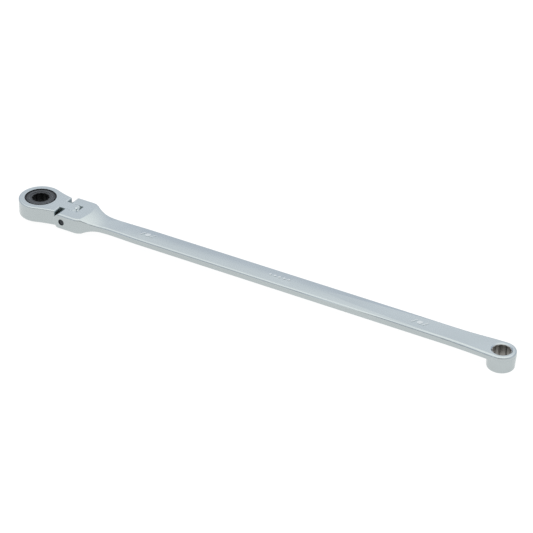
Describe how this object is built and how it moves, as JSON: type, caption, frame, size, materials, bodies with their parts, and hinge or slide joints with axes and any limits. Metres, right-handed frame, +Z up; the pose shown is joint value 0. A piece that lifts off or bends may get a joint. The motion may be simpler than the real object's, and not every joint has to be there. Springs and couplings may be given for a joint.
{
  "type": "ratchet wrench",
  "caption": "Long ring wrench with a flexible ratcheting ring head on a pinned fork at one end and a fixed deep-offset twelve-point ring at the other.",
  "frame": {"origin": "under the middle of the wrench's length, level with the foot of the fixed ring", "axes": "+X along the wrench from the ratcheting ring to the fixed ring, +Z up along both rings' axes, +Y across"},
  "size_m": [0.28, 0.0228, 0.0111],
  "materials": {
    "chrome_steel": "satin chrome plate over forged steel",
    "black_oxide_steel": "black oxide, fine turned",
    "black_spring_steel": "black oxide, smooth",
    "spring_wire": "bright drawn wire"
  },
  "bodies": {
    "handle": {"handle": "chrome_steel", "hinge_pin": "black_oxide_steel", "detent_spring": "spring_wire"},
    "head": {"head_housing": "chrome_steel", "retaining_ring": "black_spring_steel", "pawl_spring": "spring_wire"},
    "gear": {"drive_gear": "black_oxide_steel"},
    "pawl": {"pawl": "black_oxide_steel"},
    "detent": {"detent_ball": "spring_wire"}
  },
  "joints": [
    {"name": "head_flex", "type": "hinge", "parent": "handle", "child": "head", "pos_m": [-0.1092, 0, 0.00677], "axis": [0, 1, 0], "range_deg": [-90, 90]},
    {"name": "gear_spin", "type": "hinge", "parent": "head", "child": "gear", "pos_m": [-0.1286, 0, 0.00677], "axis": [0, 0, 1], "continuous": true},
    {"name": "pawl_slide", "type": "slide", "parent": "head", "child": "pawl", "axis": [1, 0, 0], "range_m": [0, 0.0006], "stiffness_N_per_m": 300, "springref_m": -0.002, "deforming": ["pawl_spring"]},
    {"name": "detent_slide", "type": "slide", "parent": "handle", "child": "detent", "axis": [1, 0, 0], "range_m": [0, 0.0004], "stiffness_N_per_m": 500, "springref_m": -0.003, "deforming": ["detent_spring"]}
  ]
}
